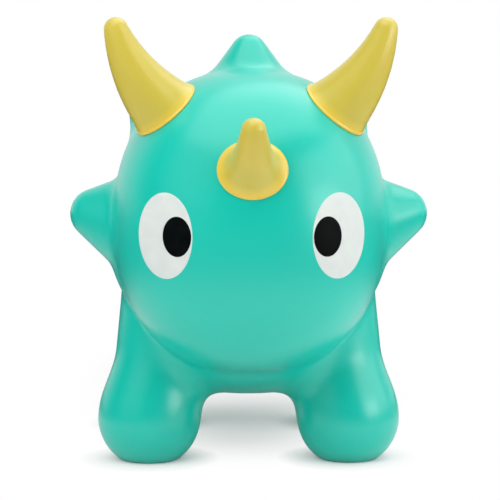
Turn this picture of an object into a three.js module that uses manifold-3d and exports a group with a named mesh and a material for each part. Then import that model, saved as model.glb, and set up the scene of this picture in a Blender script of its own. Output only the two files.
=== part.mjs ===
// Inflatable triceratops hopper: a hollow soft skin on four feet, bonded horns, film eyes and a belly valve.
// Millimetres, +Z up, face towards -Y, origin on the floor under the middle of the toy.
import * as THREE from "three";
import { mergeVertices } from "three/addons/utils/BufferGeometryUtils.js";
import Module from "manifold-3d";

const wasm = await Module();
wasm.setup();

// Fits and walls
const BOND_GAP = 0.3;
const SKIN_WALL = 3.5;
const SOLE_WALL = 6;
const WELD = 0.02;

// Head: heights are above the floor, and places along the toy are measured back from the head's centre
const HEAD_WIDTH = 290;
const HEAD_LENGTH = 300;
const HEAD_HEIGHT = 322;
const HEAD_CENTRE_HEIGHT = 265;
const HEAD_FULLNESS = 2.25;
const CHIN_FULLNESS = 2.3;
const HEAD_FOLD = 7;

// Trunk and nape, the seat being the top of the trunk
const TRUNK_WIDTH = 232;
const TRUNK_LENGTH = 380;
const TRUNK_BACK = 140;
const TRUNK_FULLNESS = 2.5;
const BELLY_HEIGHT = 62;
const SEAT_HEIGHT = 275;
const NAPE_TOP_BACK = 62;
const NAPE_TOP_HEIGHT = 245;
const NAPE_TOP_RADIUS = 108;
const NAPE_END_BACK = 165;
const NAPE_END_HEIGHT = 187;
const NAPE_END_RADIUS = 86;
const NAPE_BLEND = 40;

// Legs, each a tapered limb from a shoulder or hip down to a ball foot that the floor flattens
const LEG_BLEND = 30;
const FOOT_BLEND = 34;
const FRONT_SHOULDER_SIDE = 80;
const FRONT_SHOULDER_BACK = 58;
const FRONT_SHOULDER_HEIGHT = 196;
const FRONT_SHOULDER_RADIUS = 57.5;
const FRONT_ANKLE_RADIUS = 43;
const FRONT_FOOT_SIDE = 109;
const FRONT_FOOT_BACK = 36;
const FRONT_FOOT_RADIUS = 51;
const REAR_HIP_SIDE = 76;
const REAR_HIP_BACK = 236;
const REAR_HIP_HEIGHT = 159;
const REAR_HIP_RADIUS = 58;
const REAR_ANKLE_RADIUS = 41;
const REAR_FOOT_SIDE = 113;
const REAR_FOOT_BACK = 245;
const REAR_FOOT_RADIUS = 45;
const FOOT_FLATTENING = 5;

// Tail
const TAIL_ROOT_BACK = 286;
const TAIL_ROOT_HEIGHT = 187;
const TAIL_ROOT_RADIUS = 56;
const TAIL_TIP_BACK = 362;
const TAIL_TIP_HEIGHT = 227;
const TAIL_TIP_RADIUS = 17;
const TAIL_BLEND = 46;

// Frill: one crown point on top, two pairs of points at the sides and a pair of round jowls, in one plane
const FRILL_BACK = 32;
const FRILL_BLEND = 11;
const CROWN_ROOT_RISE = 124;
const CROWN_TIP_RISE = HEAD_HEIGHT / 2 + 17;
const CROWN_ROOT_RADIUS = 52;
const CROWN_TIP_RADIUS = 20;
const UPPER_ROOT_SIDE = 82;
const UPPER_ROOT_RISE = 84;
const UPPER_TIP_SIDE = 109;
const UPPER_TIP_RISE = 114;
const UPPER_ROOT_RADIUS = 44;
const UPPER_TIP_RADIUS = 20;
const CHEEK_ROOT_SIDE = 106;
const CHEEK_ROOT_RISE = -8;
const CHEEK_TIP_SIDE = HEAD_WIDTH / 2 + 21.5;
const CHEEK_TIP_RISE = 5;
const CHEEK_ROOT_RADIUS = 60;
const CHEEK_TIP_RADIUS = 27;
const JOWL_SIDE = 94;
const JOWL_RISE = -52;
const JOWL_RADIUS = 51;

// Horns: hollow, each on a wide foot whose lip stands on the skin
const HORN_WALL = 3.5;
const HORN_LIP = 2.6;
const HORN_SINK = 12;
const BROW_HORN_BEARING = 60;
const BROW_HORN_ELEVATION = 49.5;
const BROW_HORN_LEAN = -0.1;
const BROW_HORN_LENGTH = 109;
const BROW_HORN_BEND = 34;
const BROW_HORN_FOOT_RADIUS = 38;
const BROW_HORN_FOOT_SQUASH = 1;
const BROW_HORN_SHAFT_RADIUS = 29.5;
const BROW_HORN_TIP_RADIUS = 12.5;
const BROW_HORN_FLARE = 24;
const NOSE_HORN_ELEVATION = 24.5;
const NOSE_HORN_LEAN = 0.16;
const NOSE_HORN_LENGTH = 74;
const NOSE_HORN_BEND = 40;
const NOSE_HORN_FOOT_RADIUS = 36;
const NOSE_HORN_FOOT_SQUASH = 0.86;
const NOSE_HORN_SHAFT_RADIUS = 20;
const NOSE_HORN_TIP_RADIUS = 12.3;
const NOSE_HORN_FLARE = 28;

// Eyes: a white film with a black film on it, their outlines as seen from the front
const EYE_FILM = 0.6;
const EYE_SIDE = 88;
const EYE_HEIGHT = 260.5;
const EYE_WIDTH = 55;
const EYE_TALLNESS = 88;
const PUPIL_INSET = 12;
const PUPIL_WIDTH = 29.5;
const PUPIL_TALLNESS = 42;

// Air valve in the belly: a boss inside the skin, a seat pressed into it, and a plug that pulls out downwards
const VALVE_BOSS_RADIUS = 21;
const VALVE_BOSS_DEPTH = 22;
const VALVE_POCKET_DEPTH = 5.5;
const SEAT_FLANGE_RADIUS = 14;
const SEAT_FLANGE_THICKNESS = 2;
const SEAT_NECK_RADIUS = 8.5;
const SEAT_BARB_RADIUS = 11;
const SEAT_BARB_LENGTH = 4;
const PLUG_HEAD_RADIUS = 11.5;
const PLUG_HEAD_THICKNESS = 2.6;
const PLUG_STEM_RADIUS = 4.6;
const PLUG_STEM_LENGTH = 17;
const PLUG_TIP_RADIUS = 3.4;
const PLUG_CLEARANCE = 0.3;

// Facet sizes
const SKIN_CELL = 18;
const LINING_CELL = 23;
const HORN_SIDES = 20;
const HORN_STEPS = 3;
const HORN_LINING_SIDES = 12;
const HORN_LINING_STEPS = 2;
const VALVE_STEPS = 4;
const EYE_SIDES = 14;
const VALVE_SIDES = 24;

// Signed distances, near enough at the surface, each a function of x, y and z

// A full-bodied ellipsoid; a fullness of 2 is a plain one, and the lower half can be fuller than the rest
function egg([cx, cy, cz], [rx, ry, rz], fullness, lowerFullness) {
  const tiny = 1e-9;
  return (x, y, z) => {
    const u = Math.abs(x - cx) / rx + tiny;
    const v = Math.abs(y - cy) / ry + tiny;
    const w = Math.abs(z - cz) / rz + tiny;
    const upright = z < cz ? lowerFullness : fullness;
    const level = (u ** fullness + v ** fullness) ** (1 / fullness);
    const f = (level ** upright + w ** upright) ** (1 / upright);
    const levelSlope = (level / f) ** (upright - 1);
    const slope = Math.hypot(
      (levelSlope * (u / level) ** (fullness - 1)) / rx,
      (levelSlope * (v / level) ** (fullness - 1)) / ry,
      (w / f) ** (upright - 1) / rz,
    );
    return (f - 1) / slope;
  };
}

function ball([cx, cy, cz], radius) {
  return (x, y, z) => Math.hypot(x - cx, y - cy, z - cz) - radius;
}

// The hull of two balls, as for a tapered limb
function limb(from, to, fromRadius, toRadius) {
  const a = new THREE.Vector3(...from);
  const axis = new THREE.Vector3(...to).sub(a);
  const length = axis.length();
  axis.divideScalar(length);
  const sine = (fromRadius - toRadius) / length;
  const cosine = Math.sqrt(1 - sine * sine);
  const p = new THREE.Vector3();
  return (x, y, z) => {
    p.set(x, y, z).sub(a);
    const along = p.dot(axis);
    const across = Math.sqrt(Math.max(p.lengthSq() - along * along, 0));
    const onCone = along - (across * sine) / cosine;
    if (onCone < 0) return p.length() - fromRadius;
    if (onCone > length) return Math.hypot(across, along - length) - toRadius;
    return across * cosine + along * sine - fromRadius;
  };
}

// The nearer of two distances, with the crease between them filled by the given size
function blend(a, b, size) {
  const overlap = Math.max(size - Math.abs(a - b), 0) / size;
  return Math.min(a, b) - (overlap * overlap * size) / 4;
}

// The skin's outer surface, and the two forms that are hollow, one on each side of its fold. Both sides are
// alike, so limbs are given for the right side only.
function makeSkinFields() {
  const head = egg(
    [0, 0, HEAD_CENTRE_HEIGHT],
    [HEAD_WIDTH / 2, HEAD_LENGTH / 2, HEAD_HEIGHT / 2],
    HEAD_FULLNESS,
    CHIN_FULLNESS,
  );
  const trunk = egg(
    [0, TRUNK_BACK, (SEAT_HEIGHT + BELLY_HEIGHT) / 2],
    [TRUNK_WIDTH / 2, TRUNK_LENGTH / 2, (SEAT_HEIGHT - BELLY_HEIGHT) / 2],
    TRUNK_FULLNESS,
    TRUNK_FULLNESS,
  );
  const nape = limb(
    [0, NAPE_TOP_BACK, NAPE_TOP_HEIGHT],
    [0, NAPE_END_BACK, NAPE_END_HEIGHT],
    NAPE_TOP_RADIUS,
    NAPE_END_RADIUS,
  );
  const leg = (hip, hipRadius, ankleRadius, foot, footRadius) => {
    const shank = limb(hip, foot, hipRadius, ankleRadius);
    const footBall = ball(foot, footRadius);
    return (x, y, z) => blend(shank(x, y, z), footBall(x, y, z), FOOT_BLEND);
  };
  const frontLeg = leg(
    [FRONT_SHOULDER_SIDE, FRONT_SHOULDER_BACK, FRONT_SHOULDER_HEIGHT],
    FRONT_SHOULDER_RADIUS,
    FRONT_ANKLE_RADIUS,
    [FRONT_FOOT_SIDE, FRONT_FOOT_BACK, FRONT_FOOT_RADIUS - FOOT_FLATTENING],
    FRONT_FOOT_RADIUS,
  );
  const rearLeg = leg(
    [REAR_HIP_SIDE, REAR_HIP_BACK, REAR_HIP_HEIGHT],
    REAR_HIP_RADIUS,
    REAR_ANKLE_RADIUS,
    [REAR_FOOT_SIDE, REAR_FOOT_BACK, REAR_FOOT_RADIUS - FOOT_FLATTENING],
    REAR_FOOT_RADIUS,
  );
  const tail = limb(
    [0, TAIL_ROOT_BACK, TAIL_ROOT_HEIGHT],
    [0, TAIL_TIP_BACK, TAIL_TIP_HEIGHT],
    TAIL_ROOT_RADIUS,
    TAIL_TIP_RADIUS,
  );
  const frillPoint = (rootSide, rootRise, tipSide, tipRise, rootRadius, tipRadius) =>
    limb(
      [rootSide, FRILL_BACK, HEAD_CENTRE_HEIGHT + rootRise],
      [tipSide, FRILL_BACK, HEAD_CENTRE_HEIGHT + tipRise],
      rootRadius,
      tipRadius,
    );
  const narrowPoints = [
    frillPoint(0, CROWN_ROOT_RISE, 0, CROWN_TIP_RISE, CROWN_ROOT_RADIUS, CROWN_TIP_RADIUS),
    frillPoint(
      UPPER_ROOT_SIDE,
      UPPER_ROOT_RISE,
      UPPER_TIP_SIDE,
      UPPER_TIP_RISE,
      UPPER_ROOT_RADIUS,
      UPPER_TIP_RADIUS,
    ),
  ];
  const widePoints = [
    frillPoint(
      CHEEK_ROOT_SIDE,
      CHEEK_ROOT_RISE,
      CHEEK_TIP_SIDE,
      CHEEK_TIP_RISE,
      CHEEK_ROOT_RADIUS,
      CHEEK_TIP_RADIUS,
    ),
    ball([JOWL_SIDE, FRILL_BACK, HEAD_CENTRE_HEIGHT + JOWL_RISE], JOWL_RADIUS),
  ];
  const body = (side, y, z) => {
    const x = Math.abs(side);
    let d = blend(trunk(x, y, z), nape(x, y, z), NAPE_BLEND);
    d = blend(d, frontLeg(x, y, z), LEG_BLEND);
    d = blend(d, rearLeg(x, y, z), LEG_BLEND);
    return blend(d, tail(x, y, z), TAIL_BLEND);
  };
  const headWith = (points) => (side, y, z) => {
    const x = Math.abs(side);
    return points.reduce((d, point) => blend(d, point(x, y, z), FRILL_BLEND), head(x, y, z));
  };
  const frilledHead = headWith([...narrowPoints, ...widePoints]);
  const whole = (x, y, z) => blend(body(x, y, z), frilledHead(x, y, z), HEAD_FOLD);
  return { whole, hollows: [body, headWith(widePoints)] };
}

const { whole: skinField, hollows: hollowFields } = makeSkinFields();

// The way out of the skin at a point
function outward(field, p) {
  const h = 0.05;
  return new THREE.Vector3(
    field(p.x + h, p.y, p.z) - field(p.x - h, p.y, p.z),
    field(p.x, p.y + h, p.z) - field(p.x, p.y - h, p.z),
    field(p.x, p.y, p.z + h) - field(p.x, p.y, p.z - h),
  ).normalize();
}

// Moves a point along a line, or straight out, until it lies on the surface
function settle(field, p, along) {
  const rounds = 24;
  for (let i = 0; i < rounds; i++) {
    const out = outward(field, p);
    const way = along ?? out;
    p.addScaledVector(way, -field(p.x, p.y, p.z) / Math.max(way.dot(out), 0.3));
  }
  return p;
}

// The closed surface where a field is zero, as one point in each cell that it crosses
function surfaceOf(field, low, high, cell) {
  const count = [0, 1, 2].map((i) => Math.ceil((high[i] - low[i]) / cell) + 1);
  const start = [0, 1, 2].map((i) => (low[i] + high[i] - (count[i] - 1) * cell) / 2);
  const [nx, ny, nz] = count;
  const at = (i, j, k) => (k * ny + j) * nx + i;
  const place = (i, j, k) =>
    new THREE.Vector3(start[0] + i * cell, start[1] + j * cell, start[2] + k * cell);
  const value = new Float64Array(nx * ny * nz);
  for (let k = 0; k < nz; k++)
    for (let j = 0; j < ny; j++)
      for (let i = 0; i < nx; i++) value[at(i, j, k)] = field(...place(i, j, k));

  const points = [];
  const pointOf = new Int32Array(nx * ny * nz).fill(-1);
  const corners = [0, 1, 2, 3, 4, 5, 6, 7].map((c) => [c & 1, (c >> 1) & 1, c >> 2]);
  const beside = (a, b) => Math.hypot(a[0] - b[0], a[1] - b[1], a[2] - b[2]) === 1;
  const edges = corners.flatMap((a, i) =>
    corners.slice(i + 1).flatMap((b) => (beside(a, b) ? [[a, b]] : [])),
  );
  const pointIn = (i, j, k) => {
    const sum = new THREE.Vector3();
    let crossings = 0;
    for (const [a, b] of edges) {
      const va = value[at(i + a[0], j + a[1], k + a[2])];
      const vb = value[at(i + b[0], j + b[1], k + b[2])];
      if (va < 0 === vb < 0) continue;
      const from = place(i + a[0], j + a[1], k + a[2]);
      sum.add(from.lerp(place(i + b[0], j + b[1], k + b[2]), va / (va - vb)));
      crossings++;
    }
    return crossings ? settle(field, sum.divideScalar(crossings)) : null;
  };
  for (let k = 0; k < nz - 1; k++)
    for (let j = 0; j < ny - 1; j++)
      for (let i = 0; i < nx - 1; i++) {
        const p = pointIn(i, j, k);
        if (p) pointOf[at(i, j, k)] = points.push(p) - 1;
      }

  const triangles = [];
  const addQuad = (a, b, c, d, flip) => {
    if (flip) [b, d] = [d, b];
    const short = points[a].distanceToSquared(points[c]) < points[b].distanceToSquared(points[d]);
    triangles.push(...(short ? [a, b, c, a, c, d] : [a, b, d, b, c, d]));
  };
  for (let k = 1; k < nz - 1; k++)
    for (let j = 1; j < ny - 1; j++)
      for (let i = 1; i < nx - 1; i++) {
        const inside = value[at(i, j, k)] < 0;
        const cellAt = (di, dj, dk) => pointOf[at(i - di, j - dj, k - dk)];
        if (inside !== value[at(i + 1, j, k)] < 0)
          addQuad(cellAt(0, 1, 1), cellAt(0, 0, 1), cellAt(0, 0, 0), cellAt(0, 1, 0), !inside);
        if (inside !== value[at(i, j + 1, k)] < 0)
          addQuad(cellAt(1, 0, 1), cellAt(1, 0, 0), cellAt(0, 0, 0), cellAt(0, 0, 1), !inside);
        if (inside !== value[at(i, j, k + 1)] < 0)
          addQuad(cellAt(1, 1, 0), cellAt(0, 1, 0), cellAt(0, 0, 0), cellAt(1, 0, 0), !inside);
      }
  return { points, triangles };
}

// Solids for cutting and joining

function solidOfPoints(points, triangles) {
  const vertProperties = new Float32Array(points.flatMap((p) => [p.x, p.y, p.z]));
  return new wasm.Manifold(
    new wasm.Mesh({ numProp: 3, vertProperties, triVerts: new Uint32Array(triangles) }),
  );
}

function solidOf(geometry) {
  const bare = geometry.clone();
  bare.deleteAttribute("normal");
  bare.deleteAttribute("uv");
  const merged = mergeVertices(bare, 1e-4);
  const position = merged.getAttribute("position");
  const points = Array.from({ length: position.count }, (_, i) =>
    new THREE.Vector3().fromBufferAttribute(position, i),
  );
  const triangles = [];
  for (let i = 0; i < merged.index.count; i += 3) {
    const [a, b, c] = [0, 1, 2].map((n) => merged.index.getX(i + n));
    if (a !== b && b !== c && c !== a) triangles.push(a, b, c);
  }
  return solidOfPoints(points, triangles);
}

// A cut can leave points almost on each other: they are joined, and triangles that vanish are left out
function geometryOf(solid) {
  const mesh = solid.getMesh();
  const position = new THREE.BufferAttribute(mesh.vertProperties.slice(), 3);
  const order = Array.from({ length: position.count }, (_, i) => i);
  order.sort((a, b) => position.getX(a) - position.getX(b));
  const keptFor = new Int32Array(position.count).fill(-1);
  const a = new THREE.Vector3();
  const b = new THREE.Vector3();
  order.forEach((i, rank) => {
    if (keptFor[i] >= 0) return;
    keptFor[i] = i;
    a.fromBufferAttribute(position, i);
    for (let next = rank + 1; next < order.length; next++) {
      b.fromBufferAttribute(position, order[next]);
      if (b.x - a.x > WELD) break;
      if (keptFor[order[next]] < 0 && a.distanceTo(b) < WELD) keptFor[order[next]] = i;
    }
  });
  const triangles = [];
  for (let i = 0; i < mesh.triVerts.length; i += 3) {
    const corners = [0, 1, 2].map((n) => keptFor[mesh.triVerts[i + n]]);
    if (new Set(corners).size === 3) triangles.push(...corners);
  }
  const geometry = new THREE.BufferGeometry();
  geometry.setAttribute("position", position);
  geometry.setIndex(triangles);
  geometry.computeVertexNormals();
  return geometry;
}

// Skin

const reach = {
  side: Math.max(
    HEAD_WIDTH / 2,
    CHEEK_TIP_SIDE + CHEEK_TIP_RADIUS,
    UPPER_TIP_SIDE + UPPER_TIP_RADIUS,
    FRONT_FOOT_SIDE + FRONT_FOOT_RADIUS,
    REAR_FOOT_SIDE + REAR_FOOT_RADIUS,
    TRUNK_WIDTH / 2,
  ),
  front: -HEAD_LENGTH / 2,
  rear: Math.max(
    TAIL_TIP_BACK + TAIL_TIP_RADIUS,
    TAIL_ROOT_BACK + TAIL_ROOT_RADIUS,
    TRUNK_BACK + TRUNK_LENGTH / 2,
  ),
  bottom: -FOOT_FLATTENING,
  top: HEAD_CENTRE_HEIGHT + Math.max(HEAD_HEIGHT / 2, CROWN_TIP_RISE + CROWN_TIP_RADIUS),
};

// The surface of a form, set in by a distance
function insetSurface(field, inset, cell) {
  const margin = LEG_BLEND + 2 * cell;
  const low = [-reach.side - margin, reach.front - margin, reach.bottom - margin];
  const high = [reach.side + margin, reach.rear + margin, reach.top + margin];
  return surfaceOf((x, y, z) => field(x, y, z) + inset, low, high, cell);
}

const outer = insetSurface(skinField, 0, SKIN_CELL);
const outerNormals = outer.points.map((p) => outward(skinField, p));

// The solid inside the outer surface, grown outwards by a small distance
function grownSkin(distance) {
  const points = outer.points.map((p, i) => p.clone().addScaledVector(outerNormals[i], distance));
  return solidOfPoints(points, outer.triangles);
}

// Everything below a height
function below(height) {
  const size = 4 * (reach.rear - reach.front);
  return solidOf(new THREE.BoxGeometry(size, size, size).translate(0, 0, height - size / 2));
}

// A round bar along Z
function bar(radius, from, to, y) {
  const geometry = new THREE.CylinderGeometry(radius, radius, to - from, VALVE_SIDES);
  return solidOf(geometry.rotateX(Math.PI / 2).translate(0, y, (from + to) / 2));
}

const bellyPoint = new THREE.Vector3(0, TRUNK_BACK, BELLY_HEIGHT);
const belly = settle(skinField, bellyPoint, new THREE.Vector3(0, 0, -1)).z;
const pocketRoof = belly + VALVE_POCKET_DEPTH;
const bossTop = belly + VALVE_BOSS_DEPTH;

// The hollows of the body and of the head are made apart and joined, so the fold between them keeps its
// wall. The narrow frill points stay full.
function makeBodySkin() {
  const [bodyHollow, headHollow] = hollowFields.map((field) => {
    const lining = insetSurface(field, SKIN_WALL, LINING_CELL);
    return solidOfPoints(lining.points, lining.triangles);
  });
  const hollow = bodyHollow.add(headHollow).subtract(below(SOLE_WALL));
  const boss = bar(VALVE_BOSS_RADIUS, belly + SKIN_WALL / 2, bossTop, TRUNK_BACK);
  const pocket = bar(SEAT_FLANGE_RADIUS + BOND_GAP, belly - VALVE_POCKET_DEPTH, pocketRoof, TRUNK_BACK);
  const bore = bar(SEAT_NECK_RADIUS + BOND_GAP, belly, bossTop + SKIN_WALL, TRUNK_BACK);
  return grownSkin(0).subtract(below(0)).subtract(hollow).add(boss).subtract(pocket).subtract(bore);
}

// Horns

// A turned form on an axis that leaves the skin and bends by an arc, its foot following the skin
function bentTurning({ outline, steps, sides, seat, bendTowards, lean, bendAngle, length, flare, squash }) {
  const way = outward(skinField, seat).addScaledVector(bendTowards, lean).normalize();
  const towards = bendTowards.clone().addScaledVector(way, -bendTowards.dot(way)).normalize();
  const aside = new THREE.Vector3().crossVectors(towards, way);
  const bendRadius = length / bendAngle;
  const geometry = new THREE.LatheGeometry(outline.getPoints(steps), sides);
  const position = geometry.getAttribute("position");
  const p = new THREE.Vector3();
  for (let i = 0; i < position.count; i++) {
    p.fromBufferAttribute(position, i);
    const height = p.y;
    const follow = THREE.MathUtils.clamp(1 - (height - HORN_LIP) / (flare - HORN_LIP), 0, 1);
    p.x *= 1 - (1 - squash) * follow;
    const turn = Math.max(height, 0) / bendRadius;
    const across = towards.clone().multiplyScalar(Math.cos(turn)).addScaledVector(way, -Math.sin(turn));
    const placed = seat
      .clone()
      .addScaledVector(way, bendRadius * Math.sin(turn) + Math.min(height, 0))
      .addScaledVector(towards, bendRadius * (1 - Math.cos(turn)))
      .addScaledVector(across, p.x)
      .addScaledVector(aside, p.z);
    const level = seat.clone().addScaledVector(towards, p.x).addScaledVector(aside, p.z);
    const drop = settle(skinField, level.clone(), way).sub(level).dot(way);
    placed.addScaledVector(way, drop * follow);
    position.setXYZ(i, placed.x, placed.y, placed.z);
  }
  return solidOf(geometry);
}

// Half of a horn's section: radius across, height up its axis. The taper runs smoothly into the round tip.
function hornOutline(foot, shaft, tip, length, flare, lip, sink) {
  const toTip = length - tip - flare;
  const taper = Math.atan2(shaft, toTip) - Math.asin(tip / Math.hypot(shaft, toTip));
  const fall = 0.75 * (flare - lip);
  const outline = new THREE.Path();
  outline.moveTo(0, -sink);
  outline.lineTo(foot, -sink);
  outline.lineTo(foot, lip / 2);
  outline.quadraticCurveTo(foot, lip, foot - lip / 2, lip);
  outline.quadraticCurveTo(shaft + fall * Math.tan(taper), flare - fall, shaft, flare);
  outline.absarc(0, length - tip, tip, taper, Math.PI / 2);
  return outline;
}

function makeHorn({ seat, lean, bend, length, foot, squash, shaft, tip, flare, skinCut }) {
  const shape = (inset, sink, steps, sides) =>
    bentTurning({
      outline: hornOutline(
        foot - 2 * inset,
        shaft - inset,
        tip - inset,
        length - inset,
        flare,
        HORN_LIP - inset / 2,
        sink,
      ),
      steps,
      sides,
      seat,
      bendTowards: new THREE.Vector3(0, 0, 1),
      lean,
      bendAngle: THREE.MathUtils.degToRad(bend),
      length,
      flare,
      squash,
    });
  const outside = shape(0, HORN_SINK, HORN_STEPS, HORN_SIDES);
  const inside = shape(HORN_WALL, 2 * HORN_SINK, HORN_LINING_STEPS, HORN_LINING_SIDES);
  return outside.subtract(inside).subtract(skinCut);
}

// The place on the head that a bearing from straight ahead and an elevation point at
function headSeat(bearing, elevation) {
  const b = THREE.MathUtils.degToRad(bearing);
  const e = THREE.MathUtils.degToRad(elevation);
  const way = new THREE.Vector3(Math.sin(b) * Math.cos(e), -Math.cos(b) * Math.cos(e), Math.sin(e));
  const start = new THREE.Vector3(0, 0, HEAD_CENTRE_HEIGHT).addScaledVector(way, HEAD_LENGTH / 2);
  return settle(skinField, start, way);
}

// Eyes

// An upright oval seen from the front, as a bar through the face
function ovalBar(side, width, tallness) {
  const outline = new THREE.Shape();
  outline.absellipse(0, 0, width / 2, tallness / 2, 0, 2 * Math.PI);
  const geometry = new THREE.ExtrudeGeometry(outline, {
    depth: HEAD_LENGTH,
    bevelEnabled: false,
    curveSegments: EYE_SIDES,
  });
  return solidOf(geometry.rotateX(Math.PI / 2).translate(side, 0, EYE_HEIGHT));
}

// A film on the skin between two distances from it
function makeFilm(side, width, tallness, from, to) {
  return ovalBar(side, width, tallness).intersect(grownSkin(to)).subtract(grownSkin(from));
}

// Valve

function turned(outline) {
  const geometry = new THREE.LatheGeometry(outline.getPoints(VALVE_STEPS), VALVE_SIDES);
  return solidOf(geometry.rotateX(Math.PI / 2).rotateZ(Math.PI / VALVE_SIDES).translate(0, TRUNK_BACK, 0));
}

const flangeTop = pocketRoof - BOND_GAP;
const flangeBottom = flangeTop - SEAT_FLANGE_THICKNESS;
const plugShoulder = flangeBottom - BOND_GAP;

function makeValveSeat() {
  const boreRadius = PLUG_STEM_RADIUS + PLUG_CLEARANCE;
  const barbBottom = bossTop + BOND_GAP;
  const outline = new THREE.Path();
  outline.moveTo(boreRadius, flangeBottom);
  outline.lineTo(SEAT_FLANGE_RADIUS, flangeBottom);
  outline.lineTo(SEAT_FLANGE_RADIUS, flangeTop);
  outline.lineTo(SEAT_NECK_RADIUS, flangeTop);
  outline.lineTo(SEAT_NECK_RADIUS, barbBottom);
  outline.lineTo(SEAT_BARB_RADIUS, barbBottom);
  outline.lineTo(SEAT_NECK_RADIUS, barbBottom + SEAT_BARB_LENGTH);
  outline.lineTo(boreRadius, barbBottom + SEAT_BARB_LENGTH);
  outline.lineTo(boreRadius, flangeBottom);
  return turned(outline);
}

function makeValvePlug() {
  const headBottom = plugShoulder - PLUG_HEAD_THICKNESS;
  const round = PLUG_HEAD_THICKNESS / 2;
  const outline = new THREE.Path();
  outline.moveTo(0, headBottom);
  outline.lineTo(PLUG_HEAD_RADIUS - round, headBottom);
  outline.quadraticCurveTo(PLUG_HEAD_RADIUS, headBottom, PLUG_HEAD_RADIUS, headBottom + round);
  outline.lineTo(PLUG_HEAD_RADIUS, plugShoulder);
  outline.lineTo(PLUG_STEM_RADIUS, plugShoulder);
  outline.lineTo(PLUG_TIP_RADIUS, plugShoulder + PLUG_STEM_LENGTH);
  outline.lineTo(0, plugShoulder + PLUG_STEM_LENGTH);
  return turned(outline);
}

// Assembly

const material = (color, roughness) => new THREE.MeshStandardMaterial({ color, roughness, metalness: 0 });
const turquoise = material(0x1fc3ac, 0.4);
const yellow = material(0xe6cf5c, 0.38);
const white = material(0xdfe6e2, 0.35);
const black = material(0x0a0d0d, 0.35);
const clearWhite = material(0xe9ece8, 0.45);

const toy = new THREE.Group();
function addPiece(name, solid, finish) {
  const mesh = new THREE.Mesh(geometryOf(solid), finish);
  mesh.name = name;
  toy.add(mesh);
}

addPiece("body_skin", makeBodySkin(), turquoise);

const skinCut = grownSkin(BOND_GAP);
addPiece(
  "nose_horn",
  makeHorn({
    seat: headSeat(0, NOSE_HORN_ELEVATION),
    lean: NOSE_HORN_LEAN,
    bend: NOSE_HORN_BEND,
    length: NOSE_HORN_LENGTH,
    foot: NOSE_HORN_FOOT_RADIUS,
    squash: NOSE_HORN_FOOT_SQUASH,
    shaft: NOSE_HORN_SHAFT_RADIUS,
    tip: NOSE_HORN_TIP_RADIUS,
    flare: NOSE_HORN_FLARE,
    skinCut,
  }),
  yellow,
);

for (const [name, hand] of [["left", -1], ["right", 1]]) {
  addPiece(
    `brow_horn_${name}`,
    makeHorn({
      seat: headSeat(hand * BROW_HORN_BEARING, BROW_HORN_ELEVATION),
      lean: BROW_HORN_LEAN,
      bend: BROW_HORN_BEND,
      length: BROW_HORN_LENGTH,
      foot: BROW_HORN_FOOT_RADIUS,
      squash: BROW_HORN_FOOT_SQUASH,
      shaft: BROW_HORN_SHAFT_RADIUS,
      tip: BROW_HORN_TIP_RADIUS,
      flare: BROW_HORN_FLARE,
      skinCut,
    }),
    yellow,
  );
  const whiteTop = BOND_GAP + EYE_FILM;
  const pupilBottom = whiteTop + BOND_GAP;
  const pupilSide = hand * (EYE_SIDE - PUPIL_INSET);
  addPiece(
    `eye_white_${name}`,
    makeFilm(hand * EYE_SIDE, EYE_WIDTH, EYE_TALLNESS, BOND_GAP, whiteTop),
    white,
  );
  addPiece(
    `pupil_${name}`,
    makeFilm(pupilSide, PUPIL_WIDTH, PUPIL_TALLNESS, pupilBottom, pupilBottom + EYE_FILM),
    black,
  );
}

addPiece("valve_seat", makeValveSeat(), clearWhite);
addPiece("valve_plug", makeValvePlug(), clearWhite);

// The origin is under the middle of the toy
const box = new THREE.Box3().setFromObject(toy);
toy.position.y = -(box.min.y + box.max.y) / 2;
const hopper = new THREE.Group();
hopper.add(toy);

export default hopper;
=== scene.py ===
"""Looks of an inflatable dinosaur hopper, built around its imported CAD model.

The face looks to -Y, and +Z is up.
"""

import math

import bpy
import numpy as np
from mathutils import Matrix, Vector


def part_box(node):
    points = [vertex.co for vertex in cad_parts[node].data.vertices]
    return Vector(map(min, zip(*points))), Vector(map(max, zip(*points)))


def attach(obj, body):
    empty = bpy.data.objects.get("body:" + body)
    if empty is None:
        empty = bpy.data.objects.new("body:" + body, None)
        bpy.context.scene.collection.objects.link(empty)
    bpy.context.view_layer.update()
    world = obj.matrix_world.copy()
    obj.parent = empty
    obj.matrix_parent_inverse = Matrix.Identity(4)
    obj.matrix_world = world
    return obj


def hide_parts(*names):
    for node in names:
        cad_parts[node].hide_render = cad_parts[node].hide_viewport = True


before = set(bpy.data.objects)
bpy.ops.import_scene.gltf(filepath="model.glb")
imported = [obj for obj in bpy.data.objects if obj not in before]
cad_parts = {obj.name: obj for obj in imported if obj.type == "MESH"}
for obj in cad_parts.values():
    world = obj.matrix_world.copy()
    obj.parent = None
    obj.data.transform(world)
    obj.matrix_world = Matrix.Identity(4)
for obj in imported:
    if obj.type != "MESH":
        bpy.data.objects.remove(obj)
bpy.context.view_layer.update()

# Sizes are in millimetres, as in the part's source
# Places along the toy are measured back from the head's centre
MM = 0.001

# Head
HEAD_WIDTH = 290
HEAD_LENGTH = 300
HEAD_HEIGHT = 322
HEAD_CENTRE_HEIGHT = 265
HEAD_FULLNESS = 2.25
CHIN_FULLNESS = 2.3
HEAD_FOLD = 7

# Trunk and nape
TRUNK_WIDTH = 232
TRUNK_LENGTH = 380
TRUNK_BACK = 140
TRUNK_FULLNESS = 2.5
BELLY_HEIGHT = 62
SEAT_HEIGHT = 275
NAPE_TOP = (0, 62, 245)
NAPE_TOP_RADIUS = 108
NAPE_END = (0, 165, 187)
NAPE_END_RADIUS = 86
NAPE_BLEND = 40

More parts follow.
